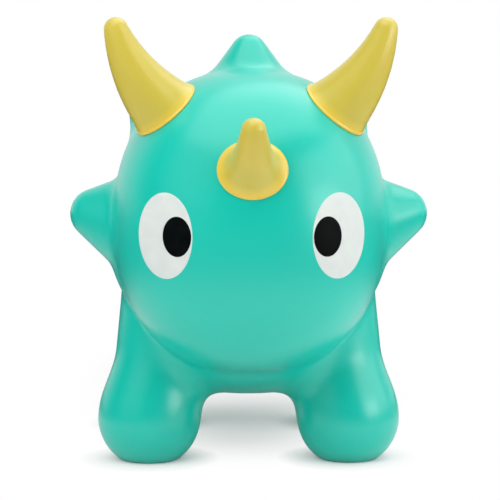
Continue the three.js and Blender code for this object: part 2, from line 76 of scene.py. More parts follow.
# Legs and tail
LEG_BLEND = 30
FOOT_BLEND = 34
FOOT_FLATTENING = 5
FRONT_SHOULDER = (80, 58, 196)
FRONT_SHOULDER_RADIUS = 57.5
FRONT_ANKLE_RADIUS = 43
FRONT_FOOT_SIDE = 109
FRONT_FOOT_BACK = 36
FRONT_FOOT_RADIUS = 51
REAR_HIP = (76, 236, 159)
REAR_HIP_RADIUS = 58
REAR_ANKLE_RADIUS = 41
REAR_FOOT_SIDE = 113
REAR_FOOT_BACK = 245
REAR_FOOT_RADIUS = 45
TAIL_ROOT = (0, 286, 187)
TAIL_ROOT_RADIUS = 56
TAIL_TIP = (0, 362, 227)
TAIL_TIP_RADIUS = 17
TAIL_BLEND = 46

# Frill: side and rise of each root and tip from the head's centre, with the two radii
FRILL_BACK = 32
FRILL_BLEND = 11
CROWN_POINT = ((0, 124), (0, 178), 52, 20)
UPPER_POINT = ((82, 84), (109, 114), 44, 20)
CHEEK_POINT = ((106, -8), (166.5, 5), 60, 27)
JOWL_SIDE = 94
JOWL_RISE = -52
JOWL_RADIUS = 51

# Horns
HORN_LIP = 2.6
HORN_SINK = 3
# How far up from the foot the rim colour, with its painted highlight, reaches
HORN_RIM = 10
HORN_FLARE_FALL = 0.75
BROW_HORN = dict(
    bearing=60,
    elevation=49.5,
    lean=-0.1,
    length=109,
    bend=34,
    foot=38,
    shaft=29.5,
    tip=12.5,
    flare=24,
    squash=1,
)
NOSE_HORN = dict(
    bearing=0,
    elevation=24.5,
    lean=0.16,
    length=74,
    bend=40,
    foot=36,
    shaft=20,
    tip=12.3,
    flare=28,
    squash=0.86,
)

# Eyes, as seen from the front
EYE_SIDE = 88
EYE_HEIGHT = 260.5
EYE_WIDTH = 55
EYE_TALLNESS = 88
PUPIL_INSET = 12
PUPIL_WIDTH = 29.5
PUPIL_TALLNESS = 42
EYE_FILM = 0.5
PUPIL_FILM = 0.4
FILM_EDGE = 0.06

# Belly valve
VALVE_POCKET_RADIUS = 14.3
VALVE_POCKET_DEPTH = 5.5
VALVE_POCKET_EDGE = 1
VALVE_BORE = 4.9
VALVE_NECK = 8.5
PLUG_HEAD_HEIGHT = 2.6
TURNED_CENTRE = 0.01

# Mesh fineness, and the search for the skin's surface
SKIN_CELL = 4.5
SLOPE_STEP = 0.05
LEAST_PACE = 0.3
TINY = 1e-9
HORN_SIDES = 72
HORN_LIP_STEPS = 5
HORN_FLARE_STEPS = 24
HORN_SHAFT_STEPS = 20
HORN_TIP_STEPS = 12
EYE_RINGS = 24
EYE_SPOKES = 96
VALVE_SIDES = 64

# Camera: a long lens a little above the toy, 500 pixels across
CAMERA_DISTANCE = 2.3
CAMERA_ELEVATION = 6.0
CAMERA_AZIMUTH = -1.3
CAMERA_TARGET = (1, 20, 231)
PIXELS_PER_METRE = 925
IMAGE_PIXELS = 500
SENSOR_WIDTH = 36
CAMERA_REACH = 50

# The frame's origin lies under the toy's middle
# The valve's place shows how far the head's centre is in front of it
seat_low, seat_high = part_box("valve_seat")
HEAD_TO_FRAME = (seat_low.y + seat_high.y) / 2 - TRUNK_BACK * MM


def to_frame(points):
    """Points in millimetres from under the head's centre, as metres in the frame."""
    return np.asarray(points, float) * MM + np.array([0.0, HEAD_TO_FRAME, 0.0])


# The skin as a distance field, with points as rows of x, y and z


def egg(p, centre, size, fullness, lower_fullness):
    """A full-bodied ellipsoid, whose lower half can be fuller than the rest."""
    radii = np.asarray(size, float) / 2
    u, v, w = np.moveaxis(np.abs(p - np.asarray(centre, float)) / radii + TINY, -1, 0)
    upright = np.where(p[..., 2] < centre[2], lower_fullness, fullness)
    level = (u**fullness + v**fullness) ** (1 / fullness)
    f = (level**upright + w**upright) ** (1 / upright)
    level_slope = (level / f) ** (upright - 1)
    slope = np.sqrt(
        (level_slope * (u / level) ** (fullness - 1) / radii[0]) ** 2
        + (level_slope * (v / level) ** (fullness - 1) / radii[1]) ** 2
        + ((w / f) ** (upright - 1) / radii[2]) ** 2
    )
    return (f - 1) / slope


def ball(p, centre, radius):
    """A round ball."""
    return np.linalg.norm(p - np.asarray(centre, float), axis=-1) - radius


def limb(p, start, end, start_radius, end_radius):
    """The hull of two balls."""
    start = np.asarray(start, float)
    axis = np.asarray(end, float) - start
    length = np.linalg.norm(axis)
    axis = axis / length
    sine = (start_radius - end_radius) / length
    cosine = math.sqrt(1 - sine * sine)
    q = p - start
    along = q @ axis
    square = (q * q).sum(-1)
    across = np.sqrt(np.maximum(square - along * along, 0))
    on_cone = along - across * sine / cosine
    distance = across * cosine + along * sine - start_radius
    distance = np.where(on_cone < 0, np.sqrt(square) - start_radius, distance)
    return np.where(on_cone > length, np.hypot(across, along - length) - end_radius, distance)


def blend(a, b, size):
    """The nearer of two distances, with the crease between them filled."""
    overlap = np.maximum(size - np.abs(a - b), 0) / size
    return np.minimum(a, b) - overlap * overlap * size / 4


def leg(p, hip, hip_radius, ankle_radius, foot_side, foot_back, foot_radius):
    """A tapered leg with a round foot, which the floor cuts flat."""
    foot = (foot_side, foot_back, foot_radius - FOOT_FLATTENING)
    shank = limb(p, hip, foot, hip_radius, ankle_radius)
    return blend(shank, ball(p, foot, foot_radius), FOOT_BLEND)


def frill_point(p, root, tip, root_radius, tip_radius):
    """One point of the frill, in its plane."""
    start = (root[0], FRILL_BACK, HEAD_CENTRE_HEIGHT + root[1])
    end = (tip[0], FRILL_BACK, HEAD_CENTRE_HEIGHT + tip[1])
    return limb(p, start, end, root_radius, tip_radius)


def skin_field(points):
    """Distance outside the skin. Both sides are alike, so limbs are given for the right side only."""
    p = np.concatenate([np.abs(points[..., :1]), points[..., 1:]], axis=-1)
    trunk_centre = (0, TRUNK_BACK, (SEAT_HEIGHT + BELLY_HEIGHT) / 2)
    trunk_size = (TRUNK_WIDTH, TRUNK_LENGTH, SEAT_HEIGHT - BELLY_HEIGHT)
    body = egg(p, trunk_centre, trunk_size, TRUNK_FULLNESS, TRUNK_FULLNESS)
    body = blend(body, limb(p, NAPE_TOP, NAPE_END, NAPE_TOP_RADIUS, NAPE_END_RADIUS), NAPE_BLEND)
    front_leg = leg(
        p,
        FRONT_SHOULDER,
        FRONT_SHOULDER_RADIUS,
        FRONT_ANKLE_RADIUS,
        FRONT_FOOT_SIDE,
        FRONT_FOOT_BACK,
        FRONT_FOOT_RADIUS,
    )
    rear_leg = leg(
        p, REAR_HIP, REAR_HIP_RADIUS, REAR_ANKLE_RADIUS, REAR_FOOT_SIDE, REAR_FOOT_BACK, REAR_FOOT_RADIUS
    )
    body = blend(body, front_leg, LEG_BLEND)
    body = blend(body, rear_leg, LEG_BLEND)
    body = blend(body, limb(p, TAIL_ROOT, TAIL_TIP, TAIL_ROOT_RADIUS, TAIL_TIP_RADIUS), TAIL_BLEND)
    head_size = (HEAD_WIDTH, HEAD_LENGTH, HEAD_HEIGHT)
    head = egg(p, (0, 0, HEAD_CENTRE_HEIGHT), head_size, HEAD_FULLNESS, CHIN_FULLNESS)
    for point in (CROWN_POINT, UPPER_POINT, CHEEK_POINT):
        head = blend(head, frill_point(p, *point), FRILL_BLEND)
    jowl = ball(p, (JOWL_SIDE, FRILL_BACK, HEAD_CENTRE_HEIGHT + JOWL_RISE), JOWL_RADIUS)
    head = blend(head, jowl, FRILL_BLEND)
    return blend(body, head, HEAD_FOLD)


def outward(points):
    """The way out of the skin at each point."""
    slopes = [skin_field(points + d) - skin_field(points - d) for d in np.eye(3) * SLOPE_STEP]
    way = np.stack(slopes, axis=-1)
    return way / np.linalg.norm(way, axis=-1, keepdims=True)


def settle(points, along=None, rounds=8):
    """Moves points along a line, or straight out, until they lie on the skin."""
    points = np.array(points, float)
    for _ in range(rounds):
        out = outward(points)
        way = out if along is None else np.broadcast_to(along, points.shape)
        pace = np.maximum((way * out).sum(-1), LEAST_PACE)
        points -= way * (skin_field(points) / pace)[..., None]
    return points


# Meshes


def surface_net(low, high, cell):
    """Points and quads of the surface where the skin's field is zero, with one point in each crossed cell."""
    axes = [np.arange(a, b + cell, cell) for a, b in zip(low, high)]
    value = np.empty([len(a) for a in axes])
    level = np.stack(np.meshgrid(axes[0], axes[1], indexing="ij"), axis=-1)
    for k, height in enumerate(axes[2]):
        slab = np.concatenate([level, np.full(level.shape[:2] + (1,), height)], axis=-1)
        value[:, :, k] = skin_field(slab)
    inside = value < 0

    shifts = [(i, j, k) for i in (0, 1) for j in (0, 1) for k in (0, 1)]
    cells = [n - 1 for n in value.shape]
    corner_inside = [
        inside[i : i + cells[0], j : j + cells[1], k : k + cells[2]] for i, j, k in shifts
    ]
    inside_count = sum(c.astype(np.int8) for c in corner_inside)
    crossed = np.argwhere((inside_count > 0) & (inside_count < len(shifts)))
    number = np.full(cells, -1)
    number[tuple(crossed.T)] = np.arange(len(crossed))

    total = np.zeros((len(crossed), 3))
    crossings = np.zeros(len(crossed))
    for a in shifts:
        for b in shifts:
            if a >= b or sum(abs(x - y) for x, y in zip(a, b)) != 1:
                continue
            value_a = value[tuple((crossed + a).T)]
            value_b = value[tuple((crossed + b).T)]
            hit = (value_a < 0) != (value_b < 0)
            share = np.where(hit, value_a / np.where(hit, value_a - value_b, 1), 0)[:, None]
            place = np.asarray(a) + share * (np.asarray(b) - np.asarray(a))
            total += np.where(hit[:, None], place, 0)
            crossings += hit
    points = np.asarray(low) + cell * (crossed + total / crossings[:, None])

    quads = []
    for axis in range(3):
        u = np.eye(3, dtype=int)[(axis + 1) % 3]
        v = np.eye(3, dtype=int)[(axis + 2) % 3]
        here = np.moveaxis(inside, axis, 0)
        change = np.argwhere(here[:-1] != here[1:])
        order = [axis] + [n for n in range(3) if n != axis]
        edge = np.empty_like(change)
        edge[:, order] = change
        ring = [number[tuple((edge - s).T)] for s in (u + v, v, np.zeros(3, int), u)]
        ring = np.stack(ring, axis=-1)
        leaving = inside[tuple(edge.T)]
        quads.append(np.where(leaving[:, None], ring, ring[:, ::-1]))
    return points, np.concatenate(quads)


def new_object(name, points, faces):
    """A smooth mesh object from points in millimetres."""
    mesh = bpy.data.meshes.new(name)
    mesh.from_pydata(to_frame(points).tolist(), [], [list(f) for f in faces])
    mesh.update()
    mesh.shade_smooth()
    obj = bpy.data.objects.new(name, mesh)
    bpy.context.scene.collection.objects.link(obj)
    return obj


def grid_faces(rows, columns):
    """Quads between rings of points, each ring closed on itself."""
    faces = []
    for row in range(rows - 1):
        here = row * columns
        above = here + columns
        for column in range(columns):
            after = (column + 1) % columns
            faces.append((here + column, here + after, above + after, above + column))
    return faces


def turned(name, profile):
    """A turned piece on the valve's axis, from rows of radius and height."""
    angles = 2 * math.pi * np.arange(VALVE_SIDES) / VALVE_SIDES
    points = [
        (r * math.cos(a), TRUNK_BACK + r * math.sin(a), height) for r, height in profile for a in angles
    ]
    return new_object(name, points, grid_faces(len(profile), VALVE_SIDES))


# Skin


def make_body_skin():
    """The skin: flattened by the floor under the feet, and open at the valve's pocket."""
    margin = 3 * SKIN_CELL
    side = CHEEK_POINT[1][0] + CHEEK_POINT[3] + margin
    front = -HEAD_LENGTH / 2 - margin
    rear = TAIL_TIP[1] + TAIL_TIP_RADIUS + margin
    top = HEAD_CENTRE_HEIGHT + CROWN_POINT[1][1] + CROWN_POINT[3] + margin
    points, quads = surface_net((-side, front, -FOOT_FLATTENING - margin), (side, rear, top), SKIN_CELL)
    points = settle(points, rounds=4)
    normals = outward(points)
    sole = points[:, 2] < 0
    points[sole, 2] = 0
    normals[sole] = (0, 0, -1)

    from_valve = np.hypot(points[:, 0], points[:, 1] - TRUNK_BACK)
    under = points[:, 2] < (BELLY_HEIGHT + SEAT_HEIGHT) / 2
    in_pocket = under & (from_valve < VALVE_POCKET_RADIUS)
    kept = quads[~in_pocket[quads].any(axis=1)]
    rim = np.setdiff1d(quads[in_pocket[quads].any(axis=1)].ravel(), np.flatnonzero(in_pocket))
    pull = (VALVE_POCKET_RADIUS / from_valve[rim])[:, None]
    axis = np.array([0.0, TRUNK_BACK])
    points[rim, :2] = axis + (points[rim, :2] - axis) * pull
    obj = new_object("hopper_skin", points, kept)
    obj.data.normals_split_custom_set_from_vertices(normals.tolist())
    return obj


def make_valve_pocket():
    """The wall and roof of the pocket that the valve sits in."""
    roof = BELLY_HEIGHT + VALVE_POCKET_DEPTH
    profile = [
        (VALVE_POCKET_RADIUS, BELLY_HEIGHT),
        (VALVE_POCKET_RADIUS, roof - VALVE_POCKET_EDGE),
        (VALVE_POCKET_RADIUS - VALVE_POCKET_EDGE, roof),
        (VALVE_POCKET_RADIUS / 2, roof),
    ]
    return turned("valve_pocket", profile)


# Horns


def curve_between(start, bend, end, steps):
    """Points along a curve from start to end by way of a bend, without the start itself."""
    t = np.linspace(0, 1, steps + 1)[1:, None]
    start, bend, end = (np.asarray(p, float) for p in (start, bend, end))
    return (1 - t) ** 2 * start + 2 * t * (1 - t) * bend + t * t * end


def horn_profile(foot, shaft, tip, length, flare):
    """Half of a horn's section: radius across, height up its axis, with a rolled lip round the foot."""
    lip = HORN_LIP
    to_tip = length - tip - flare
    taper = math.atan2(shaft, to_tip) - math.asin(tip / math.hypot(shaft, to_tip))
    fall = HORN_FLARE_FALL * (flare - lip)
    root = (shaft + fall * math.tan(taper), flare - fall)
    rows = [
        np.array([[foot - lip, -HORN_SINK], [foot - lip / 2, 0]]),
        curve_between((foot - lip / 2, 0), (foot, 0), (foot, lip / 2), HORN_LIP_STEPS),
        curve_between((foot, lip / 2), (foot, lip), (foot - lip / 2, lip), HORN_LIP_STEPS),
        curve_between((foot - lip / 2, lip), root, (shaft, flare), HORN_FLARE_STEPS),
    ]
    turn = np.linspace(taper, math.pi / 2, HORN_TIP_STEPS + 1)[:-1]
    end = np.stack([tip * np.cos(turn), length - tip + tip * np.sin(turn)], axis=-1)
    share = np.linspace(0, 1, HORN_SHAFT_STEPS + 1)[1:-1, None]
    rows.append((1 - share) * np.array([shaft, flare]) + share * end[0])
    rows.append(end)
    return np.concatenate(rows)


def horn_seat(bearing, elevation):
    """The place on the head that a bearing from straight ahead and an elevation point at."""
    b, e = math.radians(bearing), math.radians(elevation)
    way = np.array([math.sin(b) * math.cos(e), -math.cos(b) * math.cos(e), math.sin(e)])
    start = np.array([0, 0, HEAD_CENTRE_HEIGHT]) + way * HEAD_LENGTH / 2
    return settle(start[None], along=way, rounds=24)[0]


def make_horn(name, hand, bearing, elevation, lean, length, bend, foot, shaft, tip, flare, squash):
    """A horn whose axis leaves the skin square to it and bends upwards, with a foot that follows the skin."""
    seat = horn_seat(hand * bearing, elevation)
    up = np.array([0.0, 0.0, 1.0])
    way = outward(seat[None])[0] + lean * up
    way /= np.linalg.norm(way)
    towards = up - way * (up @ way)
    towards /= np.linalg.norm(towards)
    aside = np.cross(towards, way)
    bend_radius = length / math.radians(bend)

    profile = horn_profile(foot, shaft, tip, length, flare)
    angles = 2 * math.pi * np.arange(HORN_SIDES) / HORN_SIDES
    radius, height = profile[:, :1], profile[:, 1:]
    follow = np.clip(1 - (height - HORN_LIP) / (flare - HORN_LIP), 0, 1)
    x = radius * np.cos(angles) * (1 - (1 - squash) * follow)
    z = radius * np.sin(angles)
    turn = np.maximum(height, 0) / bend_radius
    centre = (bend_radius * np.sin(turn) + np.minimum(height, 0))[..., None] * way
    centre = centre + (bend_radius * (1 - np.cos(turn)))[..., None] * towards
    across = np.cos(turn)[..., None] * towards - np.sin(turn)[..., None] * way
    placed = seat + centre + x[..., None] * across + z[..., None] * aside

    level = seat + x[..., None] * towards + z[..., None] * aside
    drop = ((settle(level, along=way, rounds=12) - level) @ way)[..., None]
    placed = (placed + drop * follow[..., None] * way).reshape(-1, 3)

    end_turn = length / bend_radius
    end = seat + way * bend_radius * math.sin(end_turn) + towards * bend_radius * (1 - math.cos(end_turn))
    faces = grid_faces(len(profile), HORN_SIDES)
    last = (len(profile) - 1) * HORN_SIDES
    faces += [(last + c, last + (c + 1) % HORN_SIDES, len(placed)) for c in range(HORN_SIDES)]
    horn = new_object(name, np.concatenate([placed, end[None]]), faces)
    # Share of the rim colour, with its painted highlight, fading up from the foot's lip
    lip_paint_and_highlight = np.clip(1 - height[:, 0] / HORN_RIM, 0, 1)
    rim = horn.data.attributes.new("rim", "FLOAT", "POINT")
    rim.data.foreach_set("value", np.append(np.repeat(lip_paint_and_highlight, HORN_SIDES), 0))
    return horn


# Eyes


def make_film(name, side, width, tallness, base, film):
    """An oval film on the skin, seen upright from the front, domed a little and thinned to its edge."""
    share = np.linspace(0, 1, EYE_RINGS + 1)[1:, None]
    angles = 2 * math.pi * np.arange(EYE_SPOKES) / EYE_SPOKES
    x = side + share * width / 2 * np.cos(angles)
    z = EYE_HEIGHT + share * tallness / 2 * np.sin(angles)
    front = np.full_like(x, -HEAD_LENGTH / 2)
    points = np.stack([x, front, z], axis=-1)
    points = np.concatenate([np.array([[side, -HEAD_LENGTH / 2, EYE_HEIGHT]]), points.reshape(-1, 3)])
    points = settle(points, along=np.array([0.0, -1.0, 0.0]), rounds=12)
    edge = np.concatenate([[0], np.repeat(share[:, 0], EYE_SPOKES)])
    rise = base + film * np.sqrt(np.clip((1 - edge) / FILM_EDGE, 0, 1))
    rise[-EYE_SPOKES:] = 0
    points += outward(points) * rise[:, None]
    faces = [(0, 1 + c, 1 + (c + 1) % EYE_SPOKES) for c in range(EYE_SPOKES)]
    rings = np.array(grid_faces(EYE_RINGS, EYE_SPOKES)) + 1
    faces += rings[:, ::-1].tolist()
    return new_object(name, points, faces)


# Materials


class Nodes:
    """A node tree, with short ways to add nodes to it."""

    def __init__(self, tree, coordinates="Object"):
        self.nodes = tree.nodes
        self.links = tree.links
        self.place = self.add("TexCoord").outputs[coordinates]

    def feed(self, socket, value):
        """Gives a socket another node's output, a colour or a plain value."""
        if isinstance(value, bpy.types.NodeSocket):
            self.links.new(value, socket)
        elif socket.type == "RGBA":
            socket.default_value = (*value, 1)
        else:
            socket.default_value = value

    def add(self, kind, inputs=None, **settings):
        """A node with its settings, and with inputs by the name or number of their sockets."""
        node = self.nodes.new(f"ShaderNode{kind}")
        for setting, value in settings.items():
            setattr(node, setting, value)
        for socket, value in (inputs or {}).items():
            self.feed(node.inputs[socket], value)
        return node

    def noise(self, scale, detail, roughness=0.5):
        inputs = {"Vector": self.place, "Scale": scale, "Detail": detail, "Roughness": roughness}
        return self.add("TexNoise", inputs).outputs["Fac"]

    def range(self, value, from_low, from_high, to_low=0, to_high=1, kind="LINEAR"):
        inputs = {
            "Value": value,
            "From Min": from_low,
            "From Max": from_high,
            "To Min": to_low,
            "To Max": to_high,
        }
        return self.add("MapRange", inputs, interpolation_type=kind).outputs["Result"]

    def math(self, operation, a, b=0):
        return self.add("Math", {0: a, 1: b}, operation=operation).outputs["Value"]

    def vector(self, operation, a, b):
        return self.add("VectorMath", {0: a, 1: b}, operation=operation).outputs["Vector"]

    def length(self, vector):
        return self.add("VectorMath", {0: vector}, operation="LENGTH").outputs["Value"]

    def axis(self, letter):
        return self.add("SeparateXYZ", {"Vector": self.place}).outputs[letter]

    def mix(self, share, a, b, kind="RGBA"):
        return self.add("Mix", {"Factor": share, "A": a, "B": b}, data_type=kind).outputs["Result"]

    def mix_shader(self, share, a, b):
        return self.add("MixShader", {"Fac": share, 1: a, 2: b}).outputs["Shader"]


class Material(Nodes):
    """A procedural material around one shader."""

    def __init__(self, name):
        self.data = bpy.data.materials.new(name)
        self.data.use_nodes = True
        super().__init__(self.data.node_tree)
        self.shader = self.nodes["Principled BSDF"]

    def shade(self, inputs):
        for socket, value in inputs.items():
            self.feed(self.shader.inputs[socket], value)

    def bump(self, height, strength, distance, under=None):
        inputs = {"Height": height, "Strength": strength, "Distance": distance}
        if under is not None:
            inputs["Normal"] = under
        return self.add("Bump", inputs).outputs["Normal"]


def linear(red, green, blue):
    """A colour written as screen values from 0 to 255, as the shader's own values."""
    shares = [c / 255 for c in (red, green, blue)]
    return tuple(s / 12.92 if s <= 0.04045 else ((s + 0.055) / 1.055) ** 2.4 for s in shares)


TURQUOISE = linear(0, 195, 175)
TURQUOISE_DEEP = linear(0, 186, 167)
TURQUOISE_SCUFFED = linear(60, 168, 155)
YELLOW = linear(205, 188, 74)
YELLOW_DEEP = linear(196, 178, 64)
# Deeper golden and lighter than the horn: partly paint colour, partly a painted highlight along the foot's
# lip
YELLOW_RIM_AND_HIGHLIGHT = linear(233, 198, 70)
EYE_WHITE = linear(212, 219, 215)
EYE_WHITE_DEEP = linear(206, 213, 210)
PUPIL_BLACK = linear(4, 8, 8)
PUPIL_WORN = linear(12, 15, 15)
VALVE_WHITE = linear(226, 230, 226)
VALVE_WORN = linear(206, 211, 206)

# Roughness stays above 0.274, where the denoiser's guides change and leave marks on the skin
SKIN_ROUGHNESS = 0.31
HORN_ROUGHNESS = 0.33
ROUGHNESS_SWING = 0.033
FILM_SMOOTHER = 0.05
FILM_ROUGHER = 0.08
VALVE_ROUGHNESS = (0.38, 0.5)

# Patterns are in repeats per metre, and the heights of bumps and the places on the toy in metres
CLOUD_SCALE = 9
SATIN_SCALE = 30
WAVE_SCALE = 16
WAVE_STRENGTH = 0.1
WAVE_HEIGHT = 0.0015
PEEL_SCALE = 500
PEEL_STRENGTH = 0.05
PEEL_HEIGHT = 0.00025
PARTING_TOP = 0.0002
PARTING_FOOT = 0.0009
PARTING_STRENGTH = 0.35
PARTING_HEIGHT = 0.0003
SCUFF_SCALE = 220
SCUFF_RANGE = (0.4, 0.6)
SCUFF_LOW = 0.0005
SCUFF_HIGH = 0.007
SCUFF_ROUGHNESS = 0.25
PATCH_RANGE = (0.35, 0.65)
SMEAR_RANGE = (0.3, 0.7)
FILM_PATCHES = 60
FILM_SMEARS = 140
FILM_GRAIN = 900
FILM_GRAIN_STRENGTH = 0.08
VALVE_PATCHES = 120
VALVE_SMEARS = 300
VALVE_GRAIN = 1200
VALVE_GRAIN_STRENGTH = 0.15
GRAIN_HEIGHT = 0.0002


def soft_vinyl(name, colour, deep, roughness):
    """Moulded soft vinyl: cloudy colour, a fine peel and slow waves that bend its reflections.

    Returns the material with its colour, roughness and normal, for the caller to set.
    """
    m = Material(name)
    base = m.mix(m.noise(CLOUD_SCALE, detail=3), colour, deep)
    smooth, rough = roughness - ROUGHNESS_SWING, roughness + ROUGHNESS_SWING
    satin = m.range(m.noise(SATIN_SCALE, detail=2), 0, 1, smooth, rough)
    waves = m.bump(m.noise(WAVE_SCALE, detail=1), WAVE_STRENGTH, WAVE_HEIGHT)
    peel = m.bump(m.noise(PEEL_SCALE, detail=1), PEEL_STRENGTH, PEEL_HEIGHT, waves)
    m.shade(
        {
            "Subsurface Weight": 0.08,
            "Subsurface Scale": 0.004,
            "Subsurface Radius": (0.4, 1.0, 0.9),
            "IOR": 1.5,
            "Coat Weight": 0.4,
            "Coat Roughness": 0.3,
        }
    )
    return m, base, satin, peel


def skin_material():
    """Turquoise vinyl with the mould's parting line round the frill's plane and scuffed soles."""
    m, base, satin, peel = soft_vinyl("turquoise_vinyl", TURQUOISE, TURQUOISE_DEEP, SKIN_ROUGHNESS)
    parting = HEAD_TO_FRAME + FRILL_BACK * MM
    off_line = m.math("ABSOLUTE", m.math("SUBTRACT", m.axis("Y"), parting))
    ridge = m.range(off_line, PARTING_TOP, PARTING_FOOT, 1, 0)
    near_floor = m.range(m.axis("Z"), SCUFF_LOW, SCUFF_HIGH, 1, 0)
    scuff = m.math("MULTIPLY", near_floor, m.range(m.noise(SCUFF_SCALE, detail=5), *SCUFF_RANGE))
    m.shade(
        {
            "Base Color": m.mix(scuff, base, TURQUOISE_SCUFFED),
            "Roughness": m.math("ADD", satin, m.math("MULTIPLY", scuff, SCUFF_ROUGHNESS)),
            "Normal": m.bump(ridge, PARTING_STRENGTH, PARTING_HEIGHT, peel),
        }
    )
    return m.data


def horn_material():
    """Yellow vinyl, deeper golden and lighter along the rim of the horn's foot: partly the paint's own colour
    there, partly a painted highlight along the lip.
    """
    m, base, satin, peel = soft_vinyl("yellow_vinyl", YELLOW, YELLOW_DEEP, HORN_ROUGHNESS)
    # Rim colour: the paint's deeper colour with a painted highlight along the lip
    rim = m.add("Attribute", attribute_name="rim").outputs["Fac"]
    m.shade({"Base Color": m.mix(rim, base, YELLOW_RIM_AND_HIGHLIGHT), "Roughness": satin, "Normal": peel})
    return m.data


def patches(m, scale, colour, worn):
    """A colour with worn patches."""
    return m.mix(m.range(m.noise(scale, detail=4), *PATCH_RANGE), colour, worn)


def film_material(name, colour, worn, roughness, gloss):
    """A printed film: almost even colour, smears in its gloss and a faint grain."""
    m = Material(name)
    smears = m.noise(FILM_SMEARS, detail=6, roughness=0.7)
    m.shade(
        {
            "Base Color": patches(m, FILM_PATCHES, colour, worn),
            "Roughness": m.range(smears, *SMEAR_RANGE, roughness - FILM_SMOOTHER, roughness + FILM_ROUGHER),
            "Normal": m.bump(m.noise(FILM_GRAIN, detail=2), FILM_GRAIN_STRENGTH, GRAIN_HEIGHT),
            "Specular IOR Level": gloss,
        }
    )
    return m.data


def valve_material():
    """White moulded plastic, a little worn."""
    m = Material("valve_plastic")
    m.shade(
        {
            "Base Color": patches(m, VALVE_PATCHES, VALVE_WHITE, VALVE_WORN),
            "Roughness": m.range(m.noise(VALVE_SMEARS, detail=4), *SMEAR_RANGE, *VALVE_ROUGHNESS),
            "Normal": m.bump(m.noise(VALVE_GRAIN, detail=2), VALVE_GRAIN_STRENGTH, GRAIN_HEIGHT),
            "Subsurface Weight": 0.1,
            "Subsurface Scale": 0.002,
        }
    )
    return m.data


# Valve pieces, fitted to the CAD nodes' boxes


def make_valve_seat():
    """The seat's flange, with eased edges, and the neck above it."""
    low, high = (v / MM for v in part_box("valve_seat"))
    flange = (high.x - low.x) / 2
    face = low.z
    profile = [
        (VALVE_BORE, high.z),
        (VALVE_BORE, face + 0.5),
        (VALVE_BORE + 0.5, face),
        (flange - 0.7, face),
        (flange, face + 0.6),
        (flange, face + 1.9),
        (VALVE_NECK, face + 2),
        (VALVE_NECK, high.z),
        (VALVE_BORE, high.z),
    ]
    return turned("valve_seat_ring", profile)


def make_valve_plug():
    """The plug: a dished head with a groove round its edge, and a tapered stem with two sealing ribs."""
    low, high = (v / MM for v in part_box("valve_plug"))
    head = (high.x - low.x) / 2
    base, top = low.z, high.z
    shoulder = base + PLUG_HEAD_HEIGHT
    profile = [
        (TURNED_CENTRE, base + 0.9),
        (head * 0.55, base + 0.8),
        (head * 0.72, base + 0.15),
        (head - 1.6, base),
        (head - 0.5, base + 0.35),
        (head, base + 1.1),
        (head - 0.8, base + 1.7),
        (head - 0.3, shoulder),
        (4.5, shoulder),
        (4.3, shoulder + 4),
        (4.45, shoulder + 4.6),
        (4.2, shoulder + 5.2),
        (4.0, shoulder + 9),
        (4.15, shoulder + 9.6),
        (3.9, shoulder + 10.2),
        (3.4, top - 0.6),
        (2.8, top),
        (TURNED_CENTRE, top),
    ]
    return turned("valve_plug_body", profile)


# Putting the pieces together


def dress(obj, material, body, node):
    """Gives a piece its material and the body it rides on, and hides the CAD node it stands for."""
    obj.data.materials.append(material)
    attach(obj, body)
    if node:
        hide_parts(node)


turquoise = skin_material()
yellow = horn_material()
white = film_material("eye_white_film", EYE_WHITE, EYE_WHITE_DEEP, roughness=0.4, gloss=0.2)
black = film_material("pupil_film", PUPIL_BLACK, PUPIL_WORN, roughness=0.4, gloss=0.05)
valve = valve_material()

dress(make_body_skin(), turquoise, "toy", "body_skin")
dress(make_valve_pocket(), turquoise, "toy", None)
dress(make_horn("nose_horn_shell", 1, **NOSE_HORN), yellow, "toy", "nose_horn")
for side, hand in (("left", -1), ("right", 1)):
    dress(make_horn(f"brow_horn_{side}_shell", hand, **BROW_HORN), yellow, "toy", f"brow_horn_{side}")
    eye = make_film(f"eye_white_{side}_film", hand * EYE_SIDE, EYE_WIDTH, EYE_TALLNESS, 0, EYE_FILM)
    dress(eye, white, "toy", f"eye_white_{side}")
    pupil_side = hand * (EYE_SIDE - PUPIL_INSET)
    pupil = make_film(f"pupil_{side}_film", pupil_side, PUPIL_WIDTH, PUPIL_TALLNESS, EYE_FILM, PUPIL_FILM)
    dress(pupil, black, "toy", f"pupil_{side}")
dress(make_valve_seat(), valve, "toy", "valve_seat")
dress(make_valve_plug(), valve, "plug", "valve_plug")


# Stage: a pale floor, white surroundings and soft lamps

FLOOR_SIZE = 12
# Slightly pink, to paint out the green light that the toy throws into the floor's shade
FLOOR_COLOUR = (0.905, 0.88, 0.884)
FLOOR_SHINE = (0.06, 0.06, 0.06)
FLOOR_SHINE_START = 0.3
FLOOR_SHINE_END = 0.9
# Painted shadow: in an oval round and behind the toy the floor's white glow falls to this share, so the
# floor's lit shade shows there
FLOOR_GLOW_NEAR = 0.3
CONTACT_REACH = 0.035
PAINTED_SHADOW_MIDDLE = (0, 0.46, 0)
PAINTED_SHADOW_REACH = (0.2, 0.52, 1)
PAINTED_SHADOW_FADE_START = 0.45
PAINTED_SHADOW_FADE_END = 1.15


